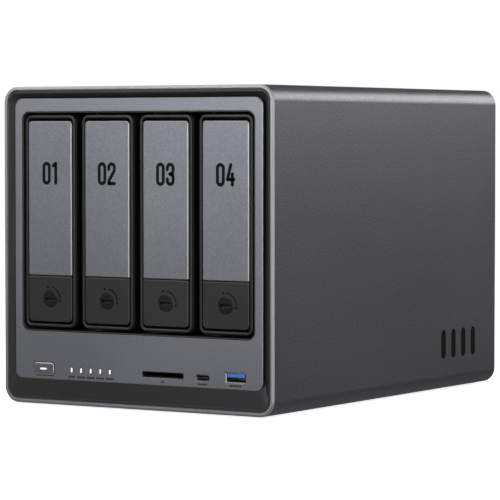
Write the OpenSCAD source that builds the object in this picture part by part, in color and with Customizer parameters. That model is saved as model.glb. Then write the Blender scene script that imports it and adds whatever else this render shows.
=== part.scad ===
// Four-bay desktop storage enclosure. X is to the right as seen from the front,
// the front faces -Y and Z is up. The origin is on the ground under the middle.

/* [Body] */
// Overall width
body_w = 178; // [174:1:186]
// Overall depth
body_d = 257; // [255:1:265]
// Overall height, rubber feet included
body_h = 178; // [178:1:182]
// Height of the feet below the sleeve
foot_h = 1; // [0.5:0.5:2]
// Thickness of the sleeve's sides and floor
wall = 2.6; // [2:0.1:3]
// Thickness of the sleeve's roof
roof_wall = 2; // [1.8:0.1:2.6]
// Radius of the sleeve's long outer edges
corner_r = 9; // [7:0.5:11]
// Width of the chamfer around the sleeve's front rim
rim_chamfer = 1.2; // [0.6:0.2:1.6]

/* [Front panel] */
// Width of the grey panel
panel_w = 163.2; // [160:0.2:165]
// Lower edge of the grey panel
panel_bottom = 14.9; // [14:0.1:16]
// Upper edge of the grey panel
panel_top = 171.4; // [170:0.1:172]
// Thickness of the grey panel
panel_t = 1.6; // [1:0.1:2]
// How far the panel sits behind the sleeve's rim
panel_recess = 0.5; // [0.3:0.1:1]
// Width of the bay mouth
bay_w = 154; // [154:0.2:155]
// Lower edge of the bay mouth
bay_bottom = 41.5; // [41.2:0.1:41.8]
// Upper edge of the bay mouth
bay_top = 164.3; // [164:0.1:164.6]
// Width of the black lip around the bay mouth
bay_lip = 0.9; // [0.8:0.1:1]

/* [Trays] */
// Distance from one tray to the next
tray_pitch = 38.65; // [38.4:0.05:38.8]
// Width of a tray's front
tray_w = 34.4; // [34:0.1:34.8]
// Lower edge of a tray's front
tray_bottom = 43.9; // [43.6:0.1:44]
// Upper edge of a tray's front
tray_top = 162.3; // [162:0.1:162.5]
// Depth of the box that holds the lever and the latch
tray_box_d = 14; // [14:0.5:16]
// Length of a 3.5 inch drive
drive_l = 147; // [147:0.5:148]
// Width of a 3.5 inch drive
drive_w = 101.6; // [101.6:0.1:101.8]
// Thickness of a 3.5 inch drive
drive_t = 26.1; // [25.8:0.1:26.2]
// Diameter of the key lock
lock_d = 9.4; // [9:0.1:10]

/* [Cooling] */
// Side of the square fan
fan_size = 140; // [140:1:140]
// Thickness of the fan
fan_t = 25; // [25:1:25]
// Distance between the fan's screw holes
fan_hole_pitch = 124.5; // [124.5:0.5:125]
// Number of fan blades
blade_count = 7; // [5:1:9]

/* [Boards] */
// Thickness of the circuit boards
board_t = 1.6; // [1.2:0.2:2]
// Height of the mainboard's underside
mainboard_z = 14; // [13:0.5:14]
// Height of the front port board's underside
front_board_z = 16.4; // [16:0.1:16.4]

/* [Hidden] */
$fn = 64;
fit = 0.05;
gap = 0.4;
front_y = -body_d/2;
rear_y = body_d/2;
inner_w = body_w - 2*wall;
inner_bottom = foot_h + wall;
inner_top = body_h - roof_wall;
inner_r = corner_r - wall;
panel_y = front_y + panel_recess;
panel_back_y = panel_y + panel_t;
bezel_back_y = panel_y + 11;
bezel_floor_y = panel_y + 5;
bay_r = 5;

tray_y = front_y + 1.1;
tray_floor_y = tray_y + tray_box_d - 2;
tray_back_y = tray_y + tray_box_d;
tray_end_y = 42;
tray_mid = (tray_bottom + tray_top)/2;
tray_r = 4.2;
tray_lip = 1.9;
rail_half = 15.2;
drive_low = tray_mid - drive_w/2 - 0.2;
drive_high = tray_mid + drive_w/2 + 0.2;
rail_t = 4.6;
face_y = front_y + 0.9;
face_w = 29.3;
handle_low = 73.0;
handle_high = 158.75;
button_low = 47.2;
button_high = 72.4;
pivot_y = face_y + 3.1;
pivot_z = handle_high - 4.25;
pin_d = 2;
lock_z = 59.7;
button_travel = 2;

sheet = 1.2;
cage_low = 41;
cage_high = 165;
cage_front_y = bezel_back_y + 0.2;
cage_back_y = 50;
cage_half = 2*tray_pitch + sheet;
board_w = 98;
board_x = -22;
board_front_y = -60;
board_back_y = 121;
board_top = mainboard_z + board_t;

rear_plate_y = rear_y - 4;
rear_face_y = rear_y - 2;
fan_z = inner_top - fan_size/2 - 2;
fan_back_y = rear_plate_y - 0.1;
fan_front_y = fan_back_y - fan_t;
fan_bore = 134;
hub_r = 21;
shaft_d = 3;

control_z = 20.7;
power_x = -62.2;
power_w = 14.5;
power_h = 7.2;
light_x = -30.2;
light_pitch = 6.46;
card_x = 17.65;
usb_c_x = 43.4;
usb_c_z = 20.3;
usb_a_x = 64.5;
usb_a_z = 21.2;
front_board_top = front_board_z + board_t;

hatch_x = 27;
hatch_y = 5;
hatch_w = 84;
hatch_d = 96;
hatch_r = 4;
hatch_ledge = 5;

tray_numbers = [1, 2, 3, 4];
tray_parts = ["frame", "handle", "hinge_pin", "button", "lock"];

// ---- drawing helpers ----

// A drawing in X and Z, made solid from y0 to y1.
module along_y(y0, y1)
    translate([0, y1, 0]) rotate([90, 0, 0]) linear_extrude(y1 - y0) children();

// A block from one corner to the opposite one.
module block(low, high)
    translate(low) cube(high - low);

// A rounded rectangle between two sides, a lower and an upper edge.
module window(x0, x1, z0, z1, r) {
    translate([x0 + r, z0]) square([x1 - x0 - 2*r, z1 - z0]);
    translate([x0, z0 + r]) square([x1 - x0, z1 - z0 - 2*r]);
    for (x = [x0 + r, x1 - r])
        for (z = [z0 + r, z1 - r])
            translate([x, z]) circle(r);
}

module rod_x(x0, x1, r, y, z)
    translate([x0, y, z]) rotate([0, 90, 0]) cylinder(h = x1 - x0, r = r);

module rod_y(y0, y1, r, x, z)
    translate([x, y1, z]) rotate([90, 0, 0]) cylinder(h = y1 - y0, r = r);

module rod_z(z0, z1, r, x, y)
    translate([x, y, z0]) cylinder(h = z1 - z0, r = r);

function tray_x(n) = (n - 2.5)*tray_pitch;

// ---- body shell ----

module sleeve_outline(inset)
    window(-body_w/2 + inset, body_w/2 - inset, foot_h + inset, body_h - inset, corner_r - inset);

module inner_outline(inset)
    window(-inner_w/2 + inset, inner_w/2 - inset, inner_bottom + inset, inner_top - inset,
        inner_r - inset);

module hatch_corners(inset)
    for (x = [-1, 1])
        for (y = [-1, 1])
            translate([hatch_x + x*(hatch_w/2 - inset), hatch_y + y*(hatch_d/2 - inset), 0])
                children();

module hatch_outline(inset)
    translate([hatch_x, hatch_y])
        window(-hatch_w/2 + inset, hatch_w/2 - inset, -hatch_d/2 + inset, hatch_d/2 - inset,
            hatch_r);

// The first stretch of the sleeve, which narrows towards the front rim.
module rim() {
    c = rim_chamfer;
    back_y = front_y + c/2;
    x = body_w/2;
    translate([0, 0, foot_h + corner_r]) linear_extrude(body_h - foot_h - 2*corner_r)
        polygon([[-x, back_y], [x, back_y], [x - c, front_y], [-x + c, front_y]]);
    rotate([90, 0, 90]) translate([0, 0, -x + corner_r]) linear_extrude(body_w - 2*corner_r)
        polygon([[back_y, foot_h], [back_y, body_h], [front_y, body_h - c], [front_y, foot_h + c]]);
    for (side = [-x + corner_r, x - corner_r])
        for (z = [foot_h + corner_r, body_h - corner_r])
            translate([side, back_y, z]) rotate([90, 0, 0])
                cylinder(h = c/2, r1 = corner_r, r2 = corner_r - c);
}

module outer_sleeve()
    color([0.36, 0.37, 0.38])
        difference() {
            union() {
                along_y(front_y + rim_chamfer/2, rear_y) sleeve_outline(0);
                rim();
            }
            along_y(front_y - 1, rear_y + 1) inner_outline(0);
            translate([0, 0, foot_h - 1]) linear_extrude(2.6) hatch_outline(0);
            translate([0, 0, foot_h]) linear_extrude(wall + 1) hatch_outline(hatch_ledge);
            hatch_corners(3) rod_z(foot_h, inner_bottom + 1, 1.25, 0, 0);
        }

module rubber_feet()
    color([0.1, 0.1, 0.1])
        for (x = [-1, 1])
            for (y = [-1, 1])
                rod_z(0, foot_h, 9, x*(body_w/2 - 24), y*(body_d/2 - 24));

module bottom_cover()
    color([0.16, 0.16, 0.17])
        difference() {
            translate([0, 0, foot_h + 0.1]) linear_extrude(1.4) hatch_outline(0.2);
            hatch_corners(3) rod_z(foot_h - 1, foot_h + 3, 1.45, 0, 0);
            hatch_corners(3) rod_z(foot_h - 1, foot_h + 0.9, 2.3, 0, 0);
            for (x = [-5:5])
                block([hatch_x + x*6 - 1.2, hatch_y - 25, foot_h - 1],
                    [hatch_x + x*6 + 1.2, hatch_y + 25, foot_h + 3]);
        }

module bottom_cover_screws()
    color("silver")
        hatch_corners(3) {
            rod_z(foot_h + 0.1, foot_h + 0.9, 2.2, 0, 0);
            rod_z(foot_h + 0.9, inner_bottom + 0.8, 1.2, 0, 0);
        }

// ---- front ----

// The sunken frame around the panel: three of its faces slope in and then drop straight
// back behind the panel's edge, and the lower one comes right up to that edge.
module bezel_recess() {
    side = inner_w/2 - fit - 1.2;
    low = inner_bottom + fit + 1.2;
    high = inner_top - fit - 1.7;
    over = panel_y - 0.5;
    slope_y = panel_y + 2.6;
    foot_x = panel_w/2 + 0.3;
    foot_z = panel_bottom - fit;
    head_z = panel_top + 0.3;
    intersection() {
        linear_extrude(body_h)
            polygon([[-side - 0.62, over], [side + 0.62, over], [foot_x, slope_y],
                [foot_x, bezel_floor_y], [-foot_x, bezel_floor_y], [-foot_x, slope_y]]);
        rotate([90, 0, 90]) translate([0, 0, -body_w/2]) linear_extrude(body_w)
            polygon([[over, low - 2.5], [over, high + 0.49], [slope_y, head_z],
                [bezel_floor_y, head_z], [bezel_floor_y, foot_z + 4],
                [panel_back_y + 0.2, foot_z], [panel_y + 0.3, foot_z]]);
    }
}

module port_openings(clearance, y0, y1) {
    c = clearance;
    along_y(y0, y1) {
        window(power_x - power_w/2 - c, power_x + power_w/2 + c, control_z - power_h/2 - c,
            control_z + power_h/2 + c, 2 + c);
        for (i = [-2:2])
            window(light_x + i*light_pitch - 0.7 - c/2, light_x + i*light_pitch + 0.7 + c/2,
                control_z - 1.4 - c/2, control_z + 1.4 + c/2, 0.6);
        window(card_x - 13.4 - c, card_x + 13.4 + c, 19.1 - c, 22.1 + c, 1);
        window(usb_c_x - 4.47 - c, usb_c_x + 4.47 + c, usb_c_z - 1.63 - c, usb_c_z + 1.63 + c,
            1.6);
        window(usb_a_x - 6.55 - c, usb_a_x + 6.55 + c, usb_a_z - 2.85 - c, usb_a_z + 2.85 + c,
            0.4);
    }
}

module front_bezel()
    color([0.15, 0.15, 0.15])
        difference() {
            union() {
                difference() {
                    along_y(panel_y, bezel_back_y) inner_outline(fit);
                    bezel_recess();
                }
                along_y(panel_back_y, bezel_floor_y + 0.5)
                    window(-panel_w/2 + 2, panel_w/2 - 2, panel_bottom + 2, panel_top - 2, 4);
                along_y(panel_y + 0.3, bezel_back_y)
                    window(-bay_w/2 + 0.1, bay_w/2 - 0.1, bay_bottom + 0.1, bay_top - 0.1,
                        bay_r - 0.1);
            }
            along_y(front_y - 1, bezel_back_y + 1)
                window(-bay_w/2 + bay_lip, bay_w/2 - bay_lip, bay_bottom + bay_lip + 0.2,
                    bay_top - bay_lip, bay_r - bay_lip);
            port_openings(0.3, front_y - 1, bezel_back_y + 1);
        }

module front_panel()
    color([0.52, 0.53, 0.55])
        difference() {
            along_y(panel_y, panel_back_y) {
                window(-panel_w/2, panel_w/2, panel_bottom, panel_top, 5);
                window(-panel_w/2, panel_w/2, panel_bottom, panel_bottom + 20, 4.2);
            }
            along_y(front_y - 1, panel_back_y + 1)
                window(-bay_w/2, bay_w/2, bay_bottom, bay_top, bay_r);
            port_openings(0.15, front_y - 1, panel_back_y + 1);
        }

module power_button()
    color([0.4, 0.4, 0.42])
        difference() {
            along_y(panel_y - 0.4, panel_y + 8.5)
                window(power_x - power_w/2, power_x + power_w/2, control_z - power_h/2,
                    control_z + power_h/2, 2);
            along_y(panel_y - 1, panel_y + 2)
                window(power_x - 2.5, power_x + 2.5, control_z - 0.8, control_z + 0.8, 0.7);
        }

module power_button_light()
    color("white")
        along_y(panel_y - 0.4, panel_y + 2)
            window(power_x - 2.5, power_x + 2.5, control_z - 0.8, control_z + 0.8, 0.7);

module power_switch()
    color("black") {
        block([power_x - 3, panel_y + 11.5, front_board_top],
            [power_x + 3, panel_y + 15.5, front_board_top + 6]);
        rod_y(panel_y + 10.4, panel_y + 11.5, 1.5, power_x, front_board_top + 3);
    }

module status_lights()
    color("white")
        for (i = [-2:2])
            along_y(panel_y, panel_y + 14)
                window(light_x + i*light_pitch - 0.7, light_x + i*light_pitch + 0.7,
                    control_z - 1.4, control_z + 1.4, 0.6);

module card_slot()
    color([0.2, 0.2, 0.2])
        difference() {
            along_y(panel_y + 0.2, panel_y + 27) window(card_x - 13.3, card_x + 13.3, 19.2, 22, 0.9);
            block([card_x - 12.1, panel_y - 1, 19.7], [card_x + 12.1, panel_y + 25, 21.8]);
        }

module usb_c_port()
    color("silver")
        difference() {
            along_y(panel_y + 0.1, panel_y + 9)
                window(usb_c_x - 4.4, usb_c_x + 4.4, usb_c_z - 1.56, usb_c_z + 1.56, 1.5);
            difference() {
                along_y(panel_y - 1, panel_y + 7)
                    window(usb_c_x - 4.1, usb_c_x + 4.1, usb_c_z - 1.26, usb_c_z + 1.26, 1.2);
                block([usb_c_x - 3.3, panel_y + 0.8, usb_c_z - 0.35],
                    [usb_c_x + 3.3, panel_y + 8, usb_c_z + 0.35]);
            }
        }

module usb_a_port()
    color("silver")
        difference() {
            block([usb_a_x - 6.5, panel_y + 0.1, usb_a_z - 2.8],
                [usb_a_x + 6.5, panel_y + 14, usb_a_z + 2.8]);
            block([usb_a_x - 6.1, panel_y - 1, usb_a_z - 2.4],
                [usb_a_x + 6.1, panel_y + 12.5, usb_a_z + 2.4]);
        }

module usb_a_tongue()
    color([0.25, 0.45, 0.85])
        block([usb_a_x - 5.6, panel_y + 0.8, usb_a_z + 0.2],
            [usb_a_x + 5.6, panel_y + 12.5, usb_a_z + 2.1]);

module front_port_board()
    color([0.05, 0.3, 0.15])
        difference() {
            block([-74, bezel_back_y + 0.3, front_board_z], [75, bezel_back_y + 24, front_board_top]);
            for (x = [-70, 71])
                rod_z(front_board_z - 1, front_board_top + 1, 1.6, x, bezel_back_y + 19);
        }

// ---- drive cage ----

module cage_floor()
    color("dimgray")
        block([-cage_half, cage_front_y, cage_low], [cage_half, cage_back_y, cage_low + sheet]);

module cage_roof()
    color("dimgray")
        block([-cage_half, cage_front_y, cage_high - sheet], [cage_half, cage_back_y, cage_high]);

module cage_sides()
    color("dimgray")
        for (side = [-1, 1]) {
            x = side*(cage_half - sheet/2);
            block([x - sheet/2, cage_front_y, cage_low + sheet],
                [x + sheet/2, cage_back_y, cage_high - sheet]);
            for (y = [-90, -30])
                block([x - sheet/2, y, inner_bottom + fit], [x + sheet/2, y + 18, cage_low]);
        }

module bay_dividers()
    color("dimgray")
        for (i = [-1:1])
            difference() {
                block([i*tray_pitch - sheet/2, cage_front_y + 8, cage_low + sheet],
                    [i*tray_pitch + sheet/2, cage_back_y, cage_high - sheet]);
                for (y = [-85, -20])
                    block([i*tray_pitch - 1, y, 62], [i*tray_pitch + 1, y + 50, 144]);
            }

module bay_guides()
    color([0.12, 0.12, 0.12])
        for (n = tray_numbers)
            for (side = [-1, 1]) {
                x = tray_x(n) + side*4.8;
                block([x - 1.2, cage_front_y + 8, cage_low + sheet],
                    [x + 1.2, tray_end_y - 2, drive_low - rail_t - 0.8]);
                block([x - 1.2, cage_front_y + 8, drive_high + rail_t + 0.8],
                    [x + 1.2, tray_end_y - 2, cage_high - sheet]);
            }

module backplane_board()
    color([0.05, 0.3, 0.15])
        difference() {
            block([-76, cage_back_y, cage_low], [76, cage_back_y + board_t, cage_high - 3]);
            for (n = tray_numbers)
                block([tray_x(n) - 4, cage_back_y - 1, drive_low + 4],
                    [tray_x(n) + 13, cage_back_y + 3, drive_high - 8]);
        }

module drive_connectors()
    color([0.1, 0.1, 0.1])
        for (n = tray_numbers) {
            x = tray_x(n) - 9.6;
            difference() {
                block([x - 2.8, tray_end_y + 0.6, drive_low + 4],
                    [x + 2.8, cage_back_y, drive_low + 46]);
                block([x - 1.2, tray_end_y, drive_low + 6],
                    [x + 1.2, tray_end_y + 5, drive_low + 28]);
                block([x - 1.2, tray_end_y, drive_low + 30],
                    [x + 1.2, tray_end_y + 5, drive_low + 44]);
            }
        }

// ---- boards and power ----

module standoff_spots()
    for (x = [board_x + 4, board_x + board_w - 3])
        for (y = [board_front_y + 4, board_back_y - 26])
            translate([x, y, 0]) children();

module mainboard()
    color([0.05, 0.3, 0.15])
        difference() {
            block([board_x, board_front_y, mainboard_z],
                [board_x + board_w, board_back_y, board_top]);
            standoff_spots() rod_z(mainboard_z - 1, board_top + 1, 1.6, 0, 0);
        }

module board_standoffs()
    color("goldenrod") {
        standoff_spots() {
            rod_z(inner_bottom, mainboard_z, 2.5, 0, 0);
            rod_z(mainboard_z, board_top + 0.4, 1.5, 0, 0);
            rod_z(board_top, board_top + 1.6, 2.6, 0, 0);
        }
        for (x = [-70, 71]) {
            rod_z(inner_bottom, front_board_z, 2.5, x, bezel_back_y + 19);
            rod_z(front_board_z, front_board_top + 0.4, 1.5, x, bezel_back_y + 19);
            rod_z(front_board_top, front_board_top + 1.6, 2.6, x, bezel_back_y + 19);
        }
    }

module processor_heatsink()
    color([0.75, 0.75, 0.77]) {
        block([2, -20, board_top + 1.4], [58, 40, board_top + 5]);
        for (i = [0:11])
            block([2 + i*5, -20, board_top + 5], [3.2 + i*5, 40, 39.5]);
        block([16, -4, board_top], [44, 24, board_top + 1.4]);
    }

module memory_module()
    color([0.08, 0.35, 0.2]) {
        block([2, 20, mainboard_z - 5], [72, 26, mainboard_z]);
        block([3, -10, mainboard_z - 4], [71, 20, mainboard_z - 2.8]);
        for (i = [0:3])
            block([7 + i*17, -3, mainboard_z - 5.2], [18 + i*17, 9, mainboard_z - 4]);
    }

module ssd_sockets()
    color([0.15, 0.15, 0.15])
        for (x = [2, 40]) {
            block([x, 38, mainboard_z - 4.2], [x + 22, 43, mainboard_z]);
            rod_z(mainboard_z - 2.6, mainboard_z, 2.5, x + 11, -40);
        }

module power_supply()
    color([0.6, 0.6, 0.6])
        difference() {
            block([-82, 0, inner_bottom + 1.5], [-28, 100, 33]);
            for (i = [0:7])
                block([-83, 12 + i*10, 12], [-80.5, 17 + i*10, 27]);
            for (i = [0:4])
                block([-76 + i*9, -1, 11], [-72 + i*9, 1.5, 27]);
        }

module power_inlet()
    color([0.1, 0.1, 0.1]) {
        difference() {
            union() {
                block([-68, 106, 8], [-40, rear_face_y, 28]);
                along_y(rear_face_y, rear_face_y + 1.5) window(-70.5, -37.5, 5.8, 30.2, 2);
            }
            along_y(111, rear_y + 1)
                polygon([[-66, 10], [-42, 10], [-42, 21.5], [-46.5, 26.2], [-61.5, 26.2],
                    [-66, 21.5]]);
        }
        for (p = [[-61, 17], [-54, 21], [-47, 17]])
            block([p[0] - 1, 110.5, p[1] - 2], [p[0] + 1, rear_y - 5, p[1] + 2]);
    }

// ---- rear ----

module rear_screw_spots()
    for (x = [-82, 82])
        for (z = [40, 100, 166])
            translate([x, 0, z]) children();

module fan_corners()
    for (x = [-1, 1])
        for (z = [-1, 1])
            translate([x*fan_hole_pitch/2, 0, fan_z + z*fan_hole_pitch/2]) children();

module rear_panel()
    color([0.14, 0.14, 0.14])
        difference() {
            along_y(rear_plate_y, rear_face_y) inner_outline(fit);
            rod_y(rear_plate_y - 1, rear_y, fan_bore/2 - 1, 0, fan_z);
            fan_corners() rod_y(rear_plate_y - 1, rear_y, 2.2, 0, 0);
            rear_screw_spots() rod_y(rear_plate_y - 1, rear_y, 1.6, 0, 0);
            block([-68.1, rear_plate_y - 1, 7.9], [-39.9, rear_y, 28.1]);
            for (x = [3, 24])
                block([x - 0.1, rear_plate_y - 1, board_top - 0.1],
                    [x + 16.1, rear_y, board_top + 13.7]);
            block([-16.1, rear_plate_y - 1, board_top - 0.1], [-0.9, rear_y, board_top + 6.1]);
            for (z = [board_top + 0.2, board_top + 7.2])
                block([46.9, rear_plate_y - 1, z - 0.1], [60.2, rear_y, z + 5.9]);
            rod_y(rear_plate_y - 1, rear_y, 1.3, 68, control_z);
            block([76.5, rear_plate_y - 1, 17], [79.5, rear_y, 24]);
        }

module rear_panel_screws()
    color("silver")
        rear_screw_spots() {
            rod_y(rear_plate_y - 5, rear_face_y, 1.5, 0, 0);
            rod_y(rear_face_y, rear_face_y + 1.4, 2.8, 0, 0);
        }

module fan_frame()
    color([0.1, 0.1, 0.1])
        difference() {
            union() {
                difference() {
                    along_y(fan_front_y, fan_back_y)
                        window(-fan_size/2, fan_size/2, fan_z - fan_size/2, fan_z + fan_size/2, 6);
                    rod_y(fan_front_y - 1, fan_back_y + 1, fan_bore/2, 0, fan_z);
                }
                rod_y(fan_back_y - 4, fan_back_y, hub_r + 1, 0, fan_z);
                for (a = [45:90:315])
                    translate([0, 0, fan_z]) rotate([0, a, 0])
                        block([hub_r, fan_back_y - 4, -3], [fan_bore/2 + 0.5, fan_back_y, 3]);
            }
            rod_y(fan_back_y - 5, fan_back_y - 0.8, shaft_d/2 + 0.06, 0, fan_z);
            fan_corners() rod_y(fan_front_y - 1, fan_back_y + 1, 2.1, 0, 0);
        }

module fan_rotor()
    color([0.2, 0.2, 0.2]) {
        rod_y(fan_front_y + 2, fan_back_y - 5, hub_r, 0, fan_z);
        rod_y(fan_back_y - 5.5, fan_back_y - 1.2, shaft_d/2, 0, fan_z);
        translate([0, 0, fan_z])
            for (i = [0:blade_count - 1])
                rotate([0, i*360/blade_count, 0])
                    intersection() {
                        rotate([90, 0, 0]) translate([0, 0, -fan_back_y])
                            cylinder(h = fan_t, r = fan_bore/2 - 2);
                        translate([0, (fan_front_y + fan_back_y - 3)/2, 0]) rotate([40, 0, 0])
                            block([hub_r - 2, -1, -13], [fan_bore/2 + 2, 1, 13]);
                    }
    }

module fan_screws()
    color("silver")
        fan_corners() {
            rod_y(fan_front_y + 8, rear_face_y, 2.05, 0, 0);
            rod_y(rear_face_y, rear_face_y + 0.3, 3.4, 0, 0);
        }

module lan_ports()
    color("silver")
        for (x = [3, 24])
            difference() {
                block([x, rear_face_y - 21, board_top], [x + 16, rear_face_y + 0.4, board_top + 13.6]);
                block([x + 2.1, rear_face_y - 14, board_top + 2.2],
                    [x + 13.9, rear_y + 1, board_top + 10.4]);
                block([x + 5.5, rear_face_y - 14, board_top + 10],
                    [x + 10.5, rear_y + 1, board_top + 12.4]);
            }

module hdmi_port()
    color("silver")
        difference() {
            block([-16, rear_face_y - 12, board_top], [-1, rear_face_y + 0.4, board_top + 6]);
            block([-15.2, rear_face_y - 10, board_top + 0.9], [-1.8, rear_y + 1, board_top + 2.6]);
            block([-14.8, rear_face_y - 10, board_top + 3.2], [-2.2, rear_y + 1, board_top + 5.2]);
        }

module rear_usb_ports()
    color("silver")
        for (z = [board_top + 0.2, board_top + 7.2])
            difference() {
                block([47, rear_face_y - 14, z], [60.1, rear_face_y + 0.4, z + 5.8]);
                block([47.5, rear_face_y - 12.5, z + 0.5], [59.6, rear_y + 1, z + 2.9]);
                block([47.5, rear_face_y - 12.5, z + 4.9], [59.6, rear_y + 1, z + 5.3]);
            }

module reset_button()
    color([0.05, 0.05, 0.05])
        rod_y(rear_plate_y - 5, rear_face_y - 0.6, 1.2, 68, control_z);

module rear_cover_frame()
    color([0.14, 0.14, 0.14])
        along_y(rear_face_y + 0.35, rear_y)
            difference() {
                window(-78, 78, fan_z - 68, fan_z + 68, 6);
                window(-72, 72, fan_z - 62, fan_z + 62, 4);
                for (x = [-1, 1])
                    for (z = [-1, 1])
                        translate([x*75, fan_z + z*50]) circle(2);
            }

module rear_cover_mesh()
    color([0.2, 0.2, 0.2])
        along_y(rear_face_y + 0.9, rear_y - 0.3)
            difference() {
                window(-72, 72, fan_z - 62, fan_z + 62, 4);
                for (x = [-9:9])
                    for (z = [-4:3])
                        translate([x*7.4 - 2.6, fan_z + z*15 + 1.2]) square([5.2, 12.6]);
            }

// ---- trays ----

module tray_frame(n)
    color([0.17, 0.17, 0.17])
        translate([tray_x(n), 0, 0]) {
            difference() {
                along_y(tray_y, tray_back_y) window(-tray_w/2, tray_w/2, tray_bottom, tray_top, tray_r);
                along_y(tray_y - 1, tray_floor_y)
                    window(-tray_w/2 + tray_lip, tray_w/2 - tray_lip, tray_bottom + tray_lip,
                        tray_top - 1.8, tray_r - tray_lip);
                rod_x(-16.4, 16.4, pin_d/2, pivot_y, pivot_z);
            }
            difference() {
                block([-rail_half, tray_back_y, drive_low - rail_t],
                    [-drive_t/2 - 0.3, tray_end_y, drive_high + rail_t]);
                block([-rail_half - 1, -92, drive_low + 14],
                    [-drive_t/2, 22, drive_high - 14]);
            }
            for (z = [drive_low - rail_t, drive_high])
                block([-drive_t/2 - 0.3, tray_back_y, z],
                    [drive_t/2 + 0.4, tray_end_y, z + rail_t]);
            for (z = [drive_low - rail_t - 3.6, drive_high + rail_t])
                block([-3.2, tray_back_y, z], [3.2, tray_end_y, z + 3.6]);
        }

module tray_handle(n)
    color([0.5, 0.51, 0.53])
        translate([tray_x(n), 0, 0])
            difference() {
                union() {
                    along_y(face_y, face_y + 2) {
                        window(-face_w/2, face_w/2, handle_low, handle_high, 2);
                        window(-face_w/2, face_w/2, handle_low, handle_low + 6, 0.5);
                    }
                    rod_x(-13, 13, 2.1, pivot_y, pivot_z);
                    for (x = [-face_w/2, face_w/2 - 1.4])
                        block([x, face_y + 1, handle_low + 3], [x + 1.4, face_y + 6, pivot_z - 6]);
                    block([-5, face_y + 1, handle_low + 1], [5, face_y + 7, handle_low + 4]);
                }
                rod_x(-15, 15, pin_d/2 + 0.06, pivot_y, pivot_z);
            }

module tray_hinge_pin(n)
    color("silver")
        translate([tray_x(n), 0, 0]) rod_x(-16.3, 16.3, pin_d/2, pivot_y, pivot_z);

module tray_button(n)
    color([0.15, 0.15, 0.15])
        translate([tray_x(n), 0, 0])
            difference() {
                along_y(face_y, face_y + 8) {
                    window(-face_w/2, face_w/2, button_low, button_high, 2.4);
                    window(-face_w/2, face_w/2, button_high - 6, button_high, 0.5);
                }
                rod_y(face_y - 1, face_y + 9, lock_d/2 + 0.08, 0, lock_z);
            }

module tray_lock(n)
    color([0.1, 0.1, 0.1])
        translate([tray_x(n), 0, lock_z]) {
            difference() {
                rod_y(face_y + 0.1, face_y + 8.4, lock_d/2, 0, 0);
                block([-3.6, face_y - 1, -0.75], [3.6, face_y + 1.6, 0.75]);
            }
            block([-2, face_y + 8.4, -3], [2, face_y + 9.6, 7]);
        }

outer_sleeve();
rubber_feet();
front_bezel();
front_panel();
cage_floor();
cage_roof();
cage_sides();
bay_dividers();
bay_guides();
backplane_board();
drive_connectors();
mainboard();
board_standoffs();
processor_heatsink();
memory_module();
ssd_sockets();
power_supply();
power_inlet();
rear_panel();
rear_panel_screws();
fan_frame();
fan_rotor();
fan_screws();
lan_ports();
hdmi_port();
rear_usb_ports();
reset_button();
rear_cover_frame();
rear_cover_mesh();
bottom_cover();
bottom_cover_screws();
front_port_board();
power_switch();
power_button();
power_button_light();
status_lights();
card_slot();
usb_c_port();
usb_a_port();
usb_a_tongue();
for (n = tray_numbers) {
    tray_frame(n);
    tray_handle(n);
    tray_hinge_pin(n);
    tray_button(n);
    tray_lock(n);
}
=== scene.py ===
import math

import bmesh
import bpy
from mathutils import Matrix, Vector


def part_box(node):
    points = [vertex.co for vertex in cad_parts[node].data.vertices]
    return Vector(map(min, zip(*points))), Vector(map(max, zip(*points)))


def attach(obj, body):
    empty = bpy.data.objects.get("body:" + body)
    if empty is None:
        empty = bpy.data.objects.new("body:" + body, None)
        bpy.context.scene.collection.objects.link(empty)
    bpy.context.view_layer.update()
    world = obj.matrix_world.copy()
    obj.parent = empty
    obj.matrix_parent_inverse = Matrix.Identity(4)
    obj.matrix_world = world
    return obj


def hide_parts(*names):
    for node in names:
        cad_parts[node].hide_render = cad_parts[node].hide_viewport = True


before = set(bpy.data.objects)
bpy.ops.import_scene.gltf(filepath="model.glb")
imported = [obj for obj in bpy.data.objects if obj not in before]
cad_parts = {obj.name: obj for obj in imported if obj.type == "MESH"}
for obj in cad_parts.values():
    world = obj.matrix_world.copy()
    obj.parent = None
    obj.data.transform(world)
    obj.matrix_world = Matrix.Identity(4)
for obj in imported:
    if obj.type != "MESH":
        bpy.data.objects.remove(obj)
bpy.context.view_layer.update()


# ---- Outer sleeve ----
# One aluminium extrusion, open at both ends and sawn to length. It is blasted with fine
# beads and anodised dark grey. Its front rim is cut to a bright chamfer, with a small step
# inside, and the underside has a shallow pocket with a hole in it, for the memory hatch.

MM = 0.001
CREASE = math.radians(24)
wall = 2.6
roof_wall = 2.0
sleeve_radius = 9.0
rim_cut = 1.2
rim_step = 0.5
rear_cut = 0.3
hatch_radius = 4.0
hatch_ledge = 5.0
pocket_depth = 1.6
pocket_flare = 0.4


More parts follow.
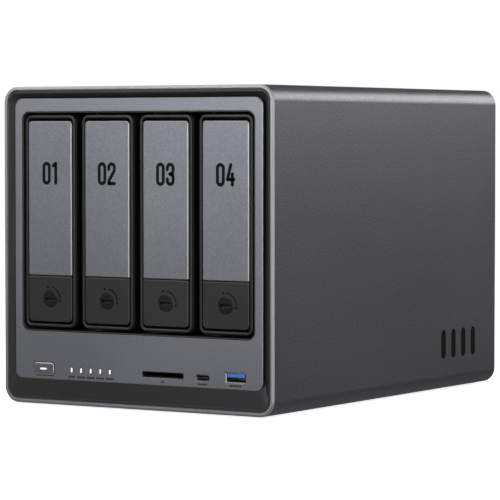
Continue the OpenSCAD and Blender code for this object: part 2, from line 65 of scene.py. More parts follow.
class Wire:
    """A socket in a material, which Python's own operators work on."""

    def __init__(self, tree, socket=None):
        self.tree = tree
        self.socket = socket

    def node(self, kind, settings=(), values=(), out=0):
        """Another node: its settings come first, then its sockets' values or links."""
        made = self.tree.nodes.new(kind)
        for name, value in dict(settings).items():
            if name == "stops":
                for place, shade in value[2:]:
                    made.color_ramp.elements.new(place)
                for element, (place, shade) in zip(made.color_ramp.elements, value):
                    element.position = place
                    element.color = (shade, shade, shade, 1)
            else:
                setattr(made, name, value)
        for name, value in dict(values).items():
            if isinstance(value, Wire):
                self.tree.links.new(value.socket, made.inputs[name])
            else:
                made.inputs[name].default_value = value
        return Wire(self.tree, made.outputs[out])

    def maths(self, operation, first, second):
        return self.node("ShaderNodeMath", {"operation": operation}, {0: first, 1: second})

    def __add__(self, other):
        return self.maths("ADD", self, other)

    def __sub__(self, other):
        return self.maths("SUBTRACT", self, other)

    def __rsub__(self, other):
        return self.maths("SUBTRACT", other, self)

    def __mul__(self, other):
        return self.maths("MULTIPLY", self, other)

    __radd__ = __add__
    __rmul__ = __mul__

    def blend(self, low, high):
        """A colour between low and high, as far along as this value says."""
        settings = {"data_type": "RGBA"}
        return self.node("ShaderNodeMix", settings, {0: self, 6: low, 7: high}, out=2)

    def place(self, stretch=(1, 1, 1)):
        """Where a point is on its object, in metres, with each axis stretched."""
        spot = self.node("ShaderNodeTexCoord", out=3)
        settings = {"operation": "MULTIPLY"}
        return self.node("ShaderNodeVectorMath", settings, {0: spot, 1: stretch})

    def noise(self, scale, detail=2.0, stretch=(1, 1, 1)):
        """Cloudy noise from 0 to 1, which is finer with a greater scale."""
        values = {"Vector": self.place(stretch), "Scale": scale, "Detail": detail}
        return self.node("ShaderNodeTexNoise", values=values)

    def bump(self, height, strength, depth):
        """The surface's normal over a height, at a depth in millimetres."""
        values = {"Height": height, "Strength": strength, "Distance": depth * MM}
        return self.node("ShaderNodeBump", values=values)


def finish(name, plain, varied):
    """A material: plain gives sockets their numbers, and varied(start) gives others wires."""
    material = bpy.data.materials.new(name)
    material.use_nodes = True
    tree = material.node_tree
    shader = tree.nodes["Principled BSDF"]
    for socket, value in plain.items():
        shader.inputs[socket].default_value = value
    for socket, wire in varied(Wire(tree)).items():
        tree.links.new(wire.socket, shader.inputs[socket])
    return material


def tint(level, cool=1.0):
    """A grey of that level, bluer as cool goes above 1."""
    return (level, level * (0.85 + 0.15 * cool), level * cool, 1)


def anodised(name, level, cool, rough, grain, speckle=1.0):
    """Anodised aluminium over a blasted skin: a fine speckle, pits and a faint cloud."""

    def varied(start):
        pits = start.noise(1000, 4)
        cloud = start.noise(14, 3)
        tone = (pits - 0.5) * speckle + (cloud - 0.5) * 0.3 + 0.5
        return {
            "Base Color": tone.blend(tint(level * 0.7, cool), tint(level * 1.3, cool)),
            "Roughness": (cloud - 0.5) * 0.06 + (pits - 0.5) * 0.12 + rough,
            "Normal": start.bump(pits, grain, 0.06),
        }

    return finish(name, {"Metallic": 0.9}, varied)


def span(node):
    """A CAD node's left, right, low and high sides, then its front and rear, in millimetres."""
    low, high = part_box(node)
    low, high = low / MM, high / MM
    return (low.x, high.x, low.z, high.z), low.y, high.y


def grown(sides, by):
    left, right, low, high = sides
    return (left - by, right + by, low - by, high + by)


def middle(sides):
    return (sides[0] + sides[1]) / 2, (sides[2] + sides[3]) / 2


def ring(sides, radius, y, inset=0.0, steps=10):
    """Points round an upright rounded rectangle at y, drawn in from its sides by inset.

    A pair of radii gives the lower corners the first and the upper corners the second.
    """
    left, right, low, high = grown(sides, -inset)
    limit = min(right - left, high - low) / 2 - 0.001
    radii = radius if isinstance(radius, tuple) else (radius, radius)
    foot, head = [max(min(each - inset, limit), 0.02) for each in radii]
    corners = ((right - foot, low + foot, foot), (right - head, high - head, head),
               (left + head, high - head, head), (left + foot, low + foot, foot))
    points = []
    for quarter, (x, z, bend) in enumerate(corners):
        for step in range(steps + 1):
            angle = math.radians(90 * (quarter - 1 + step / steps))
            points.append((x + bend * math.cos(angle), y, z + bend * math.sin(angle)))
    return points


def add_loft(work, rings, closed=False, inks=()):
    """Skins a row of rings, which is closed into a loop or else capped at both ends.

    The inks give a strip's material number where it isn't 0.
    """
    rows = [[work.verts.new(point) for point in points] for points in rings]
    following = rows[1:] + (rows[:1] if closed else [])
    strips = dict(inks)
    for strip, (low, high) in enumerate(zip(rows, following)):
        for i in range(len(low)):
            j = (i + 1) % len(low)
            face = work.faces.new((low[i], low[j], high[j], high[i]))
            face.material_index = strips.get(strip, 0)
    if not closed:
        work.faces.new(rows[0])
        work.faces.new(rows[-1])


def soften(mesh):
    """Smooth shading, with a hard line wherever two faces meet at a real edge."""
    mesh.polygons.foreach_set("use_smooth", [True] * len(mesh.polygons))
    mesh.set_sharp_from_angle(angle=CREASE)


def piece_from(work, name):
    """A piece from mesh work in millimetres."""
    bmesh.ops.recalc_face_normals(work, faces=work.faces)
    bmesh.ops.scale(work, vec=(MM, MM, MM), verts=work.verts)
    mesh = bpy.data.meshes.new(name)
    work.to_mesh(mesh)
    work.free()
    soften(mesh)
    piece = bpy.data.objects.new(name, mesh)
    bpy.context.scene.collection.objects.link(piece)
    return piece


def lofted(name, rings, closed=False, inks=()):
    work = bmesh.new()
    add_loft(work, rings, closed, inks)
    return piece_from(work, name)


def fit(piece, body, slot, finishes, *nodes):
    """Gives a piece its finishes and the body it rides on, and hides the CAD nodes it stands in
    for.
    """
    slots = piece.data.materials
    for number, material in enumerate(finishes):
        if number < len(slots):
            slots[number] = material
        else:
            slots.append(material)
    level = piece.modifiers.new("level", "WEIGHTED_NORMAL")
    level.keep_sharp = True
    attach(piece, body)
    if nodes:
        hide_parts(*nodes)


def carve(piece, cutters):
    """Cuts the cutters out of a piece for good."""
    for _ in range(2):
        piece.data.materials.append(None)
    for cutter in cutters:
        cut = piece.modifiers.new("cut", "BOOLEAN")
        cut.solver = "EXACT"
        cut.object = cutter
    seen = piece.evaluated_get(bpy.context.evaluated_depsgraph_get())
    piece.data = bpy.data.meshes.new_from_object(seen)
    piece.modifiers.clear()
    soften(piece.data)
    for cutter in cutters:
        bpy.data.objects.remove(cutter)


def laid_flat(points, z):
    """An upright outline's points, laid flat at the height z."""
    return [(x, depth, z) for x, _, depth in points]


sleeve_sides, front, rear = span("outer_sleeve")
ground = sleeve_sides[2]
(hatch_left, hatch_right, _, _), hatch_front, hatch_rear = span("bottom_cover")
hatch_sides = (hatch_left, hatch_right, hatch_front, hatch_rear)


def sleeve_ring(inset, y):
    """The sleeve's outline; its roof is a little thinner than its other walls."""
    roof_gain = inset * (1 - roof_wall / wall)
    left, right, low, high = sleeve_sides
    return ring((left, right, low, high + roof_gain), sleeve_radius, y, inset, steps=16)


def hatch_ring(inset, z):
    return laid_flat(ring(grown(hatch_sides, 0.2), hatch_radius, 0, inset), z)


blasted = anodised("blasted_anodising", 0.2, 1.1, 0.42, 0.3, 2.4)
cut_edge = anodised("cut_rim", 0.41, 1.05, 0.46, 0.01, 0.15)
sleeve = lofted(
    "sleeve",
    [sleeve_ring(0, rear - rear_cut), sleeve_ring(0, front + rim_cut / 2),
     sleeve_ring(rim_cut, front), sleeve_ring(wall - rim_step, front),
     sleeve_ring(wall - rim_step, front + rim_step),
     sleeve_ring(wall - 0.02, front + rim_step),
     sleeve_ring(wall, front + rim_step + 0.02), sleeve_ring(wall, rear - rear_cut),
     sleeve_ring(wall - rear_cut, rear), sleeve_ring(rear_cut, rear)],
    closed=True, inks={1: 1, 2: 1, 7: 1, 9: 1})
hatch_pocket = lofted(
    "hatch_pocket",
    [hatch_ring(-pocket_flare, ground - 1), hatch_ring(-pocket_flare, ground - 0.01),
     hatch_ring(0, ground + pocket_flare), hatch_ring(0, ground + pocket_depth)])
hatch_hole = lofted("hatch_hole", [hatch_ring(hatch_ledge, ground + 1),
                                   hatch_ring(hatch_ledge, ground + 4)])
carve(sleeve, [hatch_pocket, hatch_hole])
fit(sleeve, "housing", "anodised_sleeve", [blasted, cut_edge], "outer_sleeve")


# ---- Side mark ----
# A plain mark is printed in black, low on the right side near the rear: four upright bars,
# one for each bay.

mark_middle = 80.8
mark_low = 19.6
mark_height = 17.0
bar_width = 5.6
bar_step = 12.4
ink_height = 0.02
ink_root = 0.05


def printed(name, level):
    """Screen-printed ink: matt, with a slightly uneven edge to its gloss."""

    def varied(start):
        cloud = start.noise(700, 3)
        return {
            "Base Color": cloud.blend(tint(level * 0.7), tint(level * 1.3)),
            "Roughness": cloud * 0.15 + 0.45,
        }

    return finish(name, {"Specular IOR Level": 0.12}, varied)


black_ink = printed("black_ink", 0.002)
work = bmesh.new()
for bar in range(4):
    start_y = mark_middle + (bar - 1.5) * bar_step - bar_width / 2
    bar_sides = (start_y, start_y + bar_width, mark_low, mark_low + mark_height)
    outline = ring(bar_sides, bar_width / 2, 0)
    skins = [[(sleeve_sides[1] + lift, y, z) for y, _, z in outline]
             for lift in (-ink_root * 2, ink_height)]
    add_loft(work, skins)
fit(piece_from(work, "side_mark"), "housing", "black_plastic", [black_ink])


# ---- Front bezel ----
# A moulded black plastic frame fills the sleeve's mouth. A sunken channel runs round the
# panel: its sides slope in and drop behind the panel's edge, and its lower face comes right
# up to that edge. A thin lip stands round the mouth of the bays.

bezel_clear = 0.05
bezel_ease = 0.2
bezel_lip = 1.2
bezel_top_lip = 1.7
channel_floor = 5.0
channel_slope = 2.6
channel_gap = 0.3
channel_foot_depth = 0.3
channel_bend = 6.0
channel_corner = (4.5, 5.3)
backing_inset = 2.0
backing_radius = 4.0
mouth_radius = 5.0
mouth_lip = 0.9
mouth_setback = 0.3
mouth_sides = (-77.0, 77.0, 41.5, 164.3)


def plastic(name, level, cool, rough, grain):
    """Moulded plastic with a fine spark-eroded skin."""

    def varied(start):
        skin = start.noise(1500, 3)
        cloud = start.noise(20, 2)
        tone = (skin - 0.5) * 0.8 + (cloud - 0.5) * 0.6 + 0.5
        return {
            "Base Color": tone.blend(tint(level * 0.75, cool), tint(level * 1.25, cool)),
            "Roughness": (cloud - 0.5) * 0.12 + (skin - 0.5) * 0.1 + rough,
            "Normal": start.bump(skin, grain, 0.05),
        }

    return finish(name, {"Specular IOR Level": 0.45}, varied)


def quarter_turn(steps):
    return [math.radians(90 * step / steps) for step in range(steps + 1)]


def outer_edge(sides, radius, face, ease, steps=4):
    """Rings over a rounded outer edge, from its side wall to its face."""
    return [ring(sides, radius, face + ease * (1 - math.sin(angle)),
                 ease * (1 - math.cos(angle))) for angle in quarter_turn(steps)]


def hole_edge(sides, radius, face, ease, steps=4):
    """Rings over the rounded edge of a hole, from the face into the hole."""
    return [ring(sides, radius, face + ease * (1 - math.cos(angle)),
                 -ease * (1 - math.sin(angle))) for angle in quarter_turn(steps)]


bezel_sides, bezel_front, bezel_rear = span("front_bezel")
panel_sides, panel_front, panel_rear = span("front_panel")
bezel_radius = sleeve_radius - wall - bezel_clear
channel_y = bezel_front + channel_floor
left, right, low, high = bezel_sides
channel_top = (left + bezel_lip, right - bezel_lip, low + bezel_lip, high - bezel_top_lip)
left, right, low, high = grown(panel_sides, channel_gap)
channel_foot = (left, right, panel_sides[2] - bezel_clear, high)


def foot_of_channel(inset, shallow, deep):
    """The channel's inner edge: deep at the top and sides, and shallow under the panel."""
    points = []
    for x, _, z in ring(channel_foot, channel_corner, deep, inset):
        share = min(max((z - channel_foot[2]) / channel_bend, 0), 1)
        points.append((x, shallow + (deep - shallow) * share, z))
    return points


backing = grown(panel_sides, -backing_inset)
lip_outer = grown(mouth_sides, -0.1)
lip_inner = grown(mouth_sides, -mouth_lip)
lip_front = bezel_front + mouth_setback
moulded_black = plastic("moulded_black", 0.023, 1.02, 0.45, 0.2)
# The channel's slope, floor and back walls take a darker black: painted shade in the deep
# channel.
channel_painted_shade = plastic("channel_painted_shade", 0.016, 1.02, 0.5, 0.2)
bezel = lofted(
    "bezel",
    [ring(bezel_sides, bezel_radius, bezel_rear)]
    + outer_edge(bezel_sides, bezel_radius, bezel_front, bezel_ease)
    + hole_edge(channel_top, bezel_radius - bezel_lip, bezel_front, 0.15)
    + [foot_of_channel(0, panel_front + channel_foot_depth, bezel_front + channel_slope),
       foot_of_channel(0.02, panel_rear + 0.2, channel_y),
       ring(backing, backing_radius, channel_y), ring(backing, backing_radius, panel_rear),
       ring(lip_outer, mouth_radius, panel_rear)]
    + outer_edge(lip_outer, mouth_radius, lip_front, 0.15)
    + hole_edge(lip_inner, mouth_radius - mouth_lip, lip_front, 0.25)
    + [ring(lip_inner, mouth_radius - mouth_lip, bezel_rear)],
    closed=True, inks={strip: 1 for strip in range(10, 15)})


def pill(x, z, width, height):
    """A shape's sides, from its middle, its width and its height."""
    return (x - width / 2, x + width / 2, z - height / 2, z + height / 2)


control_z = 20.7
power_sides, power_front, power_rear = span("power_button")
light_sides, light_front, light_rear = span("status_lights")
card_sides, _, _ = span("card_slot")
usb_c_sides, usb_c_front, _ = span("usb_c_port")
usb_a_sides, _, _ = span("usb_a_port")
light_width = 1.4
light_pitch = (light_sides[1] - light_sides[0] - light_width) / 4
light_pills = [pill(light_sides[0] + light_width / 2 + i * light_pitch, control_z,
                    light_width, light_sides[3] - light_sides[2]) for i in range(5)]
openings = ([(power_sides, 2.0), (card_sides, 1.0), (usb_c_sides, 1.5), (usb_a_sides, 0.5)]
            + [(sides, 0.6) for sides in light_pills])


def opening_cutters(clearance, flare, near, far):
    """Cutters for the openings of the button, the lights and the sockets."""
    cutters = []
    for sides, radius in openings:
        hole = grown(sides, clearance)
        radius += clearance
        rings = [ring(hole, radius, near - 1, -flare), ring(hole, radius, near - 0.001, -flare),
                 ring(hole, radius, near + flare), ring(hole, radius, far + 1)]
        cutters.append(lofted("cutter", rings))
    return cutters


carve(bezel, opening_cutters(0.3, 0.1, panel_rear, bezel_rear))
fit(bezel, "housing", "black_plastic", [moulded_black, channel_painted_shade], "front_bezel")


# ---- Front panel ----
# A sheet of aluminium, blasted and anodised a lighter and cooler grey than the sleeve. It
# is stuck to the bezel, and its edges are cut to a fine bright chamfer.

panel_radius = (4.2, 5.0)
panel_ease = 0.3
mouth_ease = 0.05
panel_grey = anodised("panel_anodising", 0.26, 1.13, 0.45, 0.12)
panel_edge = anodised("panel_edge", 0.4, 1.08, 0.42, 0.02, 0.3)
panel_rings = ([ring(panel_sides, panel_radius, panel_rear)]
               + outer_edge(panel_sides, panel_radius, panel_front, panel_ease, steps=1)
               + hole_edge(mouth_sides, mouth_radius, panel_front, mouth_ease, steps=1)
               + [ring(mouth_sides, mouth_radius, panel_rear)])
panel = lofted("panel", panel_rings, closed=True, inks={1: 1, 3: 1})
carve(panel, opening_cutters(0.2, 0.2, panel_front, panel_rear))
fit(panel, "housing", "grey_panel", [panel_grey, panel_edge], "front_panel")


# ---- Legends ----
# Under each light and socket a row of small blocks is printed, where a maker prints what
# each is for.

legend_z = 16.9
legend_height = 1.1
block_width = 0.78
block_step = 1.06
block_radius = 0.15
grey_ink = printed("grey_ink", 0.016)
work = bmesh.new()
for sides, blocks in ([(light_pills[0], 4)] + [(sides, 5) for sides in light_pills[1:]]
                      + [(card_sides, 2), (usb_c_sides, 6), (usb_a_sides, 7)]):
    for number in range(blocks):
        x = middle(sides)[0] + (number - (blocks - 1) / 2) * block_step
        print_sides = pill(x, legend_z, block_width, legend_height)
        add_loft(work, [ring(print_sides, block_radius, panel_front + ink_root, steps=3),
                        ring(print_sides, block_radius, panel_front - ink_height, steps=3)])
fit(piece_from(work, "legends"), "housing", "black_plastic", [grey_ink])


# ---- Power button ----
# A bead-blasted metal cap with bright chamfered edges, sprung against a switch on the front
# board. A bar of frosted plastic in its middle is lit from behind.

button_ease = 0.35
cap_radius = 2.0
cap_inset = 0.2
cap_depth = 1.2
bar_radius = 0.7
bar_rim = 0.3
bar_sides, bar_front, bar_rear = span("power_button_light")
button_grey = anodised("button_anodising", 0.24, 1.1, 0.42, 0.1)
button_edge = anodised("button_edge", 0.8, 1.05, 0.4, 0.02, 0.3)


def shining(name, strength):
    """Frosted plastic with a lamp behind it, a little brighter in its middle."""

    def varied(start):
        cloud = start.noise(900, 2)
        return {
            "Base Color": cloud.blend(tint(0.1), tint(0.16)),
            "Emission Color": cloud.blend(tint(0.82, 1.04), tint(1.0, 1.02)),
        }

    return finish(name, {"Emission Strength": strength, "Roughness": 0.4}, varied)


lit_white = shining("lit_white", 1.1)
lens_grey = plastic("lens_grey", 0.1, 1.1, 0.4, 0.05)
cap_sides = grown(power_sides, -cap_inset)
button = lofted(
    "power_cap",
    [ring(power_sides, cap_radius, power_rear),
     ring(power_sides, cap_radius, power_front + cap_depth),
     ring(cap_sides, cap_radius - cap_inset, power_front + cap_depth - cap_inset)]
    + outer_edge(cap_sides, cap_radius - cap_inset, power_front, button_ease)
    + hole_edge(grown(bar_sides, 0.06), bar_radius + 0.05, power_front, 0.1, steps=1)
    + [ring(bar_sides, bar_radius, bar_rear)],
    inks={3: 1, 4: 1, 5: 1, 6: 1})
fit(button, "power_button", "grey_panel", [button_grey, button_edge], "power_button")


def add_lens(work, sides, radius, near, far, rim):
    """A lens whose rim is clouded and whose middle shines."""
    rings = ([ring(sides, radius, far)] + outer_edge(sides, radius, near, 0.1)
             + [ring(sides, radius, near, rim)])
    add_loft(work, rings, inks={strip: 1 for strip in range(6)})


work = bmesh.new()
add_lens(work, bar_sides, bar_radius, bar_front, bar_rear, bar_rim)
fit(piece_from(work, "power_bar"), "power_button", "lit_lens", [lit_white, lens_grey],
    "power_button_light")


# ---- Status lights ----
# Five pill-shaped ends of clear light pipes, lit white by the front board.

light_radius = 0.6
light_rim = 0.14
work = bmesh.new()
for sides in light_pills:
    add_lens(work, sides, light_radius, light_front + 0.02, light_rear, light_rim)
fit(piece_from(work, "light_pipes"), "housing", "lit_lens", [lit_white, lens_grey],
    "status_lights")


# ---- Front sockets ----
# A memory card slot moulded in black plastic, a small reversible socket and a full-size
# socket with a blue tongue. The last two have bent and plated steel shells.

shell_wall = 0.45
card_wall = 0.3
socket_flare = 0.5
socket_setback = 0.3
card_depth = 24.0
usb_c_depth = 6.6
usb_a_depth = 12.1
usb_c_tongue = (6.6, 0.7)


def plated(name, level, cool, rough):
    """Bright nickel over bent steel, with faint drawing marks."""

    def varied(start):
        marks = start.noise(500, 3, (1, 6, 1))
        cloud = start.noise(120, 2)
        return {
            "Base Color": marks.blend(tint(level * 0.85, cool), tint(level * 1.12, cool)),
            "Roughness": (cloud - 0.5) * 0.2 + (marks - 0.5) * 0.15 + rough,
            "Normal": start.bump(marks, 0.15, 0.03),
        }

    return finish(name, {"Metallic": 1.0}, varied)


def add_block(work, low, high, ease=0.15):
    """A block between two corners, with all its edges rounded."""
    corners = bmesh.ops.create_cube(work, size=1)["verts"]
    low, high = Vector(low), Vector(high)
    bmesh.ops.scale(work, vec=high - low, verts=corners)
    bmesh.ops.translate(work, vec=(low + high) / 2, verts=corners)
    edges = {edge for corner in corners for edge in corner.link_edges}
    bmesh.ops.bevel(work, geom=list(edges), offset=ease, segments=2, profile=0.5,
                    affect="EDGES", clamp_overlap=True, material=-1)


def fit_socket(name, slot, finishes, node, setback, radius, skin, inner_radius, depth):
    """A block or shell that flares open at the front, with a cavity of some depth whose walls
    take the second finish; for the plated shells that is a painted shade.
    """
    sides, near, far = span(node)
    near += setback
    cavity = grown(sides, -skin)
    rings = [ring(sides, radius, far), ring(sides, radius, near),
             ring(sides, radius, near, 0.03), ring(cavity, inner_radius, near + socket_flare),
             ring(cavity, inner_radius, near + depth)]
    fit(lofted(name, rings, inks={3: 1}), "housing", slot, finishes, node)


socket_black = plastic("socket_black", 0.012, 1.0, 0.5, 0.1)
shell_steel = plated("shell_steel", 0.7, 0.99, 0.4)
# The plated shells' cavity walls take a dim steel: painted shade inside the sockets.
shell_inside_painted_shade = plated("shell_inside_painted_shade", 0.12, 0.99, 0.5)
shell = [shell_steel, shell_inside_painted_shade]
fit_socket("card_reader", "connector_plastic", [socket_black, socket_black], "card_slot",
           0, 0.9, card_wall, 0.6, card_depth)
fit_socket("small_socket", "port_shell", shell, "usb_c_port",
           socket_setback, 1.5, card_wall, 1.2, usb_c_depth)
work = bmesh.new()
left, right, low, high = pill(*middle(usb_c_sides), *usb_c_tongue)
add_block(work, (left, usb_c_front + 0.7, low), (right, usb_c_front + 7, high))
fit(piece_from(work, "small_socket_tongue"), "housing", "connector_plastic", [socket_black])

fit_socket("large_socket", "port_shell", shell, "usb_a_port",
           socket_setback, 0.5, shell_wall, 0.3, usb_a_depth)
tongue_sides, tongue_front, tongue_rear = span("usb_a_tongue")
tongue_blue = finish("tongue_blue", {"Specular IOR Level": 0.5}, lambda start: {
    "Base Color": start.noise(300).blend((0.05, 0.17, 0.58, 1), (0.08, 0.22, 0.66, 1)),
    "Roughness": start.noise(600) * 0.2 + 0.3})
tongue = lofted("large_socket_tongue", [ring(tongue_sides, 0.2, tongue_rear)]
                + outer_edge(tongue_sides, 0.2, tongue_front, 0.15, steps=2))
fit(tongue, "housing", "blue_plastic", [tongue_blue], "usb_a_tongue")


# ---- Drive trays ----
# Four moulded trays slide into the bays. Each has a deep box at the front, whose raised lip
# catches the light, and behind it a side plate, two rails and two guide tongues.

box_half = 17.2
box_low = 43.9
box_high = 162.3
box_depth = 14.0
box_floor = 2.0
tray_radius = 4.2
tray_lip = 1.9
rail_half = 15.2
rail_height = 4.6
plate_inner = 13.35
rail_ease = 0.5
tongue_half = 3.2
tongue_height = 3.6
opening_front = -92.0
opening_rear = 22.0
opening_frame = 13.5
tray_black = plastic("tray_plastic", 0.022, 1.02, 0.36, 0.15)
# The box's outer sides and the start of its lip take a matt plastic painted much darker than the
# rest: painted shade in the gap between the trays.
tray_side_painted_shade = plastic("tray_side_painted_shade", 0.008, 1.02, 0.6, 0.15)

trays = (1, 2, 3, 4)
for n in trays:
    sides, near, far = span(f"tray_{n}_frame")
    x, _ = middle(span(f"tray_{n}_hinge_pin")[0])
    box_sides = (x - box_half, x + box_half, box_low, box_high)
    pocket = grown(box_sides, -tray_lip)
    box_back = near + box_depth
    bead = lofted(
        f"tray_{n}_box",
        [ring(box_sides, tray_radius, box_back), ring(box_sides, tray_radius, near + 1.4),
         ring(box_sides, tray_radius, near + 1.2, 0.2)]
        + outer_edge(grown(box_sides, -0.2), tray_radius - 0.2, near, 0.75, steps=5)
        + hole_edge(pocket, tray_radius - tray_lip, near, 0.6, steps=5)
        + [ring(pocket, tray_radius - tray_lip, box_back - box_floor)],
        inks={strip: 1 for strip in range(5)})
    fit(bead, f"tray_{n}", "tray_plastic", [tray_black, tray_side_painted_shade], f"tray_{n}_frame")

    work = bmesh.new()
    low = sides[2] + tongue_height
    high = sides[3] - tongue_height
    for z in (low, high - rail_height):
        add_block(work, (x - rail_half, box_back, z), (x + plate_inner, far, z + rail_height),
                  rail_ease)
    for z in (sides[2], sides[3] - tongue_height):
        add_block(work, (x - tongue_half, box_back, z),
                  (x + tongue_half, far, z + tongue_height), rail_ease)
    low += rail_height
    high -= rail_height
    for start_y, end_y in ((box_back, opening_front), (opening_rear, far)):
        add_block(work, (x - rail_half, start_y, low - rail_ease),
                  (x - plate_inner, end_y, high + rail_ease), 0.4)
    for z in (low - rail_ease, high - opening_frame):
        add_block(work, (x - rail_half, opening_front - 1, z),
                  (x - plate_inner, opening_rear + 1, z + opening_frame + rail_ease), 0.4)
    fit(piece_from(work, f"tray_{n}_rails"), f"tray_{n}", "tray_plastic", [tray_black])


# ---- Levers ----
# A die-cast lever fills the upper part of each tray's front. Its face is blasted and
# anodised, its edge is milled bright, and a barrel near its top turns on a steel pin.

lever_radius = (0.5, 2.0)
lever_cut = 0.45
lever_thick = 2.0
arm_width = 1.4
arm_depth = 6.0
hook_half = 5.0
barrel = 2.1
barrel_half = 13.0
pin_radius = 1.0
lever_grey = anodised("lever_anodising", 0.25, 1.14, 0.45, 0.12)
lever_edge = anodised("lever_edge", 0.5, 1.05, 0.45, 0.02, 0.3)
pin_steel = plated("pin_steel", 0.5, 1.0, 0.3)


def add_rod(work, start, end, radius, ease=0.1):
    """A round rod between two points, with a chamfer on each end."""
    start, end = Vector(start), Vector(end)
    along = (end - start).normalized()
    across = along.orthogonal().normalized()
    beside = along.cross(across)
    turns = [math.radians(15 * step) for step in range(24)]
    rings = []
    for place, width in ((start, radius - ease), (start + along * ease, radius),
                         (end - along * ease, radius), (end, radius - ease)):
        rings.append([place + across * width * math.cos(a) + beside * width * math.sin(a)
                      for a in turns])
    add_loft(work, rings)


for n in trays:
    sides, near, far = span(f"tray_{n}_handle")
    pin_sides, pin_near, pin_far = span(f"tray_{n}_hinge_pin")
    x, _ = middle(sides)
    pivot_y = (pin_near + pin_far) / 2
    _, pivot_z = middle(pin_sides)
    work = bmesh.new()
    add_loft(work, [ring(sides, lever_radius, near + lever_thick, 0.15),
                    ring(sides, lever_radius, near + lever_thick - 0.15)]
             + outer_edge(sides, lever_radius, near, lever_cut, steps=1),
             inks={2: 1})
    add_rod(work, (x - barrel_half, pivot_y, pivot_z), (x + barrel_half, pivot_y, pivot_z),
            barrel)
    for arm in (sides[0], sides[1] - arm_width):
        add_block(work, (arm, near + 1.5, sides[2] + 3),
                  (arm + arm_width, near + arm_depth, pivot_z - 6), 0.3)
    add_block(work, (x - hook_half, near + 1.5, sides[2] + 1),
              (x + hook_half, far, sides[2] + 4), 0.4)
    fit(piece_from(work, f"lever_{n}"), f"handle_{n}", "grey_handle", [lever_grey, lever_edge],
        f"tray_{n}_handle")
    work = bmesh.new()
    add_rod(work, (pin_sides[0], pivot_y, pivot_z), (pin_sides[1], pivot_y, pivot_z),
            pin_radius, 0.2)
    fit(piece_from(work, f"lever_pin_{n}"), f"tray_{n}", "screw_steel", [pin_steel],
        f"tray_{n}_hinge_pin")


# ---- Bay numbers ----
# The bays are numbered 01 to 04 in narrow, round-ended figures, printed on the levers.

figure_low = 123.5
figure_height = 12.7
figure_width = 5.7
figure_gap = 0.7
one_width = 3.7
stroke = 1.95
zero_radius = 2.85


def arc(x, z, radius_x, radius_z, start, end, steps=8):
    """Points on part of an ellipse, from one angle to another, in degrees."""
    points = []
    for step in range(steps + 1):
        angle = math.radians(start + (end - start) * step / steps)
        points.append((x + radius_x * math.cos(angle), z + radius_z * math.sin(angle)))
    return points


def add_stroke(work, points, width, y):
    """A printed stroke with round ends, along points in X and Z."""
    half = width / 2
    turns = []
    for i in range(len(points)):
        before = points[max(i - 1, 0)]
        after = points[min(i + 1, len(points) - 1)]
        turns.append(math.degrees(math.atan2(after[1] - before[1], after[0] - before[0])))
    upper = [arc(x, z, half, half, turn + 90, turn, 1)[0]
             for (x, z), turn in zip(points, turns)]
    lower = [arc(x, z, half, half, turn - 90, turn, 1)[0]
             for (x, z), turn in zip(points, turns)]
    tip = arc(*points[-1], half, half, turns[-1] + 90, turns[-1] - 90)
    tail = arc(*points[0], half, half, turns[0] - 90, turns[0] - 270)
    outline = upper[:-1] + tip + lower[-2:0:-1] + tail[:-1]
    add_loft(work, [[(x, y + ink_root, z) for x, z in outline],
                    [(x, y - ink_height, z) for x, z in outline]])


def figure_strokes(figure, x, z):
    """The middle lines of a figure's strokes, from its lower left corner."""
    wide = figure_width - stroke
    tall = figure_height - stroke
    bow = wide / 2
    one = one_width - stroke
    strokes = {
        1: [[(0, tall - 1.2), (one, tall)], [(one, tall), (one, 0)]],
        2: [[(0, tall - bow - 1.0)] + arc(bow, tall - bow, bow, bow, 180, 0)
            + [(wide, tall - bow - 1.6), (0.1, 1.4), (0, 0)], [(0, 0), (wide, 0)]],
        3: [[(0, tall - bow - 0.9)] + arc(bow, tall - bow, bow, bow, 180, 0)
            + arc(bow - 0.2, tall / 2 + 1.9, bow + 0.2, 1.7, 0, -90),
            arc(bow - 0.2, tall / 2 - 1.5, bow + 0.2, 1.7, 90, 0)
            + arc(bow, bow, bow, bow, 0, -180) + [(0, bow + 0.9)]],
        4: [[(bow + 0.2, tall), (0, 2.9)], [(0, 2.9), (wide + 0.2, 2.9)],
            [(wide - 0.7, tall - 5), (wide - 0.7, 0)]],
    }[figure]
    corner_x = x + stroke / 2
    corner_z = z + stroke / 2
    return [[(corner_x + a, corner_z + b) for a, b in line] for line in strokes]


for n in trays:
    sides, near, far = span(f"tray_{n}_handle")
    second_width = one_width if n == 1 else figure_width
    start_x = (sides[0] + sides[1] - figure_width - figure_gap - second_width) / 2
    zero = (start_x, start_x + figure_width, figure_low, figure_low + figure_height)
    work = bmesh.new()
    root = near + ink_root
    skin = near - ink_height
    add_loft(work, [ring(zero, zero_radius, root), ring(zero, zero_radius, skin),
                    ring(zero, zero_radius, skin, stroke),
                    ring(zero, zero_radius, root, stroke)], closed=True)
    for line in figure_strokes(n, start_x + figure_width + figure_gap, figure_low):
        add_stroke(work, line, stroke, near)
    fit(piece_from(work, f"number_{n}"), f"handle_{n}", "black_plastic", [black_ink])


# ---- Release buttons ----
# A moulded block below each lever slides back against a spring and frees the lever. A round
# hole in it holds the lock, and a printed arc shows which way the key turns.

button_radius = (2.4, 0.5)
button_cut = 0.35
bore_radius = 4.78
lock_z = 59.7
mark_radius = 6.8
mark_stroke = 0.7
spot_radius = 0.75
button_black = plastic("button_plastic", 0.024, 1.02, 0.4, 0.2)
# The chamfer round each block's face takes a lighter plastic: a painted highlight along its edge.
button_rim_painted_highlight = plastic("button_rim_painted_highlight", 0.06, 1.02, 0.35, 0.1)
mark_ink = printed("mark_ink", 0.006)

